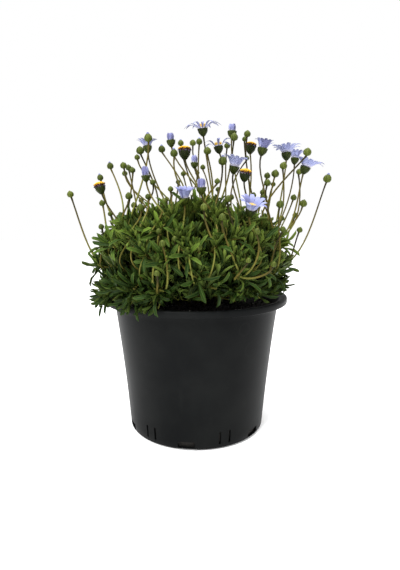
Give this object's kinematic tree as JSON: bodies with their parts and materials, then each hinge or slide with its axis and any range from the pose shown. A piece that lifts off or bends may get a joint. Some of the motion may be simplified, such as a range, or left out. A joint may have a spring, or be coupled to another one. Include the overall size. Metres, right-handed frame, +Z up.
{
  "type": "potted blue marguerite",
  "caption": "Bushy blue daisy in a tapered nursery pot: leafy stems, tall flower stalks with round buds, and pale blue blooms round yellow discs.",
  "frame": {"origin": "middle of the pot's flat underside, on the surface it stands on", "axes": "+Z up along the pot's axis, -Y towards the front, +X to the right seen from the front"},
  "size_m": [0.2502, 0.2067, 0.2988],
  "materials": {
    "pot": "satin black moulded plastic, faintly scuffed",
    "soil": "coarse dark peat and bark with a few white grains",
    "foliage": "soft green leaves, olive stalks and buds, finely hairy",
    "petals": "thin matte ray florets, lavender blue, paler beneath",
    "disc": "packed yellow florets, brown at the rim when spent"
  },
  "bodies": {
    "root": {"pot": "pot", "soil": "soil", "leafy_stem_01": "foliage", "leafy_stem_02": "foliage", "leafy_stem_03": "foliage", "leafy_stem_04": "foliage", "leafy_stem_05": "foliage", "leafy_stem_06": "foliage", "leafy_stem_07": "foliage", "leafy_stem_08": "foliage", "leafy_stem_09": "foliage", "leafy_stem_10": "foliage", "leafy_stem_11": "foliage", "leafy_stem_12": "foliage", "leafy_stem_13": "foliage", "leafy_stem_14": "foliage", "leafy_stem_15": "foliage", "leafy_stem_16": "foliage", "leafy_stem_17": "foliage", "leafy_stem_18": "foliage", "leafy_stem_19": "foliage", "leafy_stem_20": "foliage", "leafy_stem_21": "foliage", "leafy_stem_22": "foliage", "leafy_stem_23": "foliage", "leafy_stem_24": "foliage", "petals_02": "petals", "petals_03": "petals", "petals_05": "petals", "petals_06": "petals", "petals_07": "petals", "petals_08": "petals", "petals_09": "petals", "petals_10": "petals", "petals_11": "petals", "petals_12": "petals", "petals_14": "petals", "petals_16": "petals", "petals_17": "petals", "petals_18": "petals", "petals_19": "petals", "disc_01": "disc", "disc_04": "disc", "disc_09": "disc", "disc_11": "disc", "disc_12": "disc", "disc_13": "disc", "disc_15": "disc", "disc_16": "disc", "disc_18": "disc", "disc_19": "disc"}
  },
  "joints": []
}
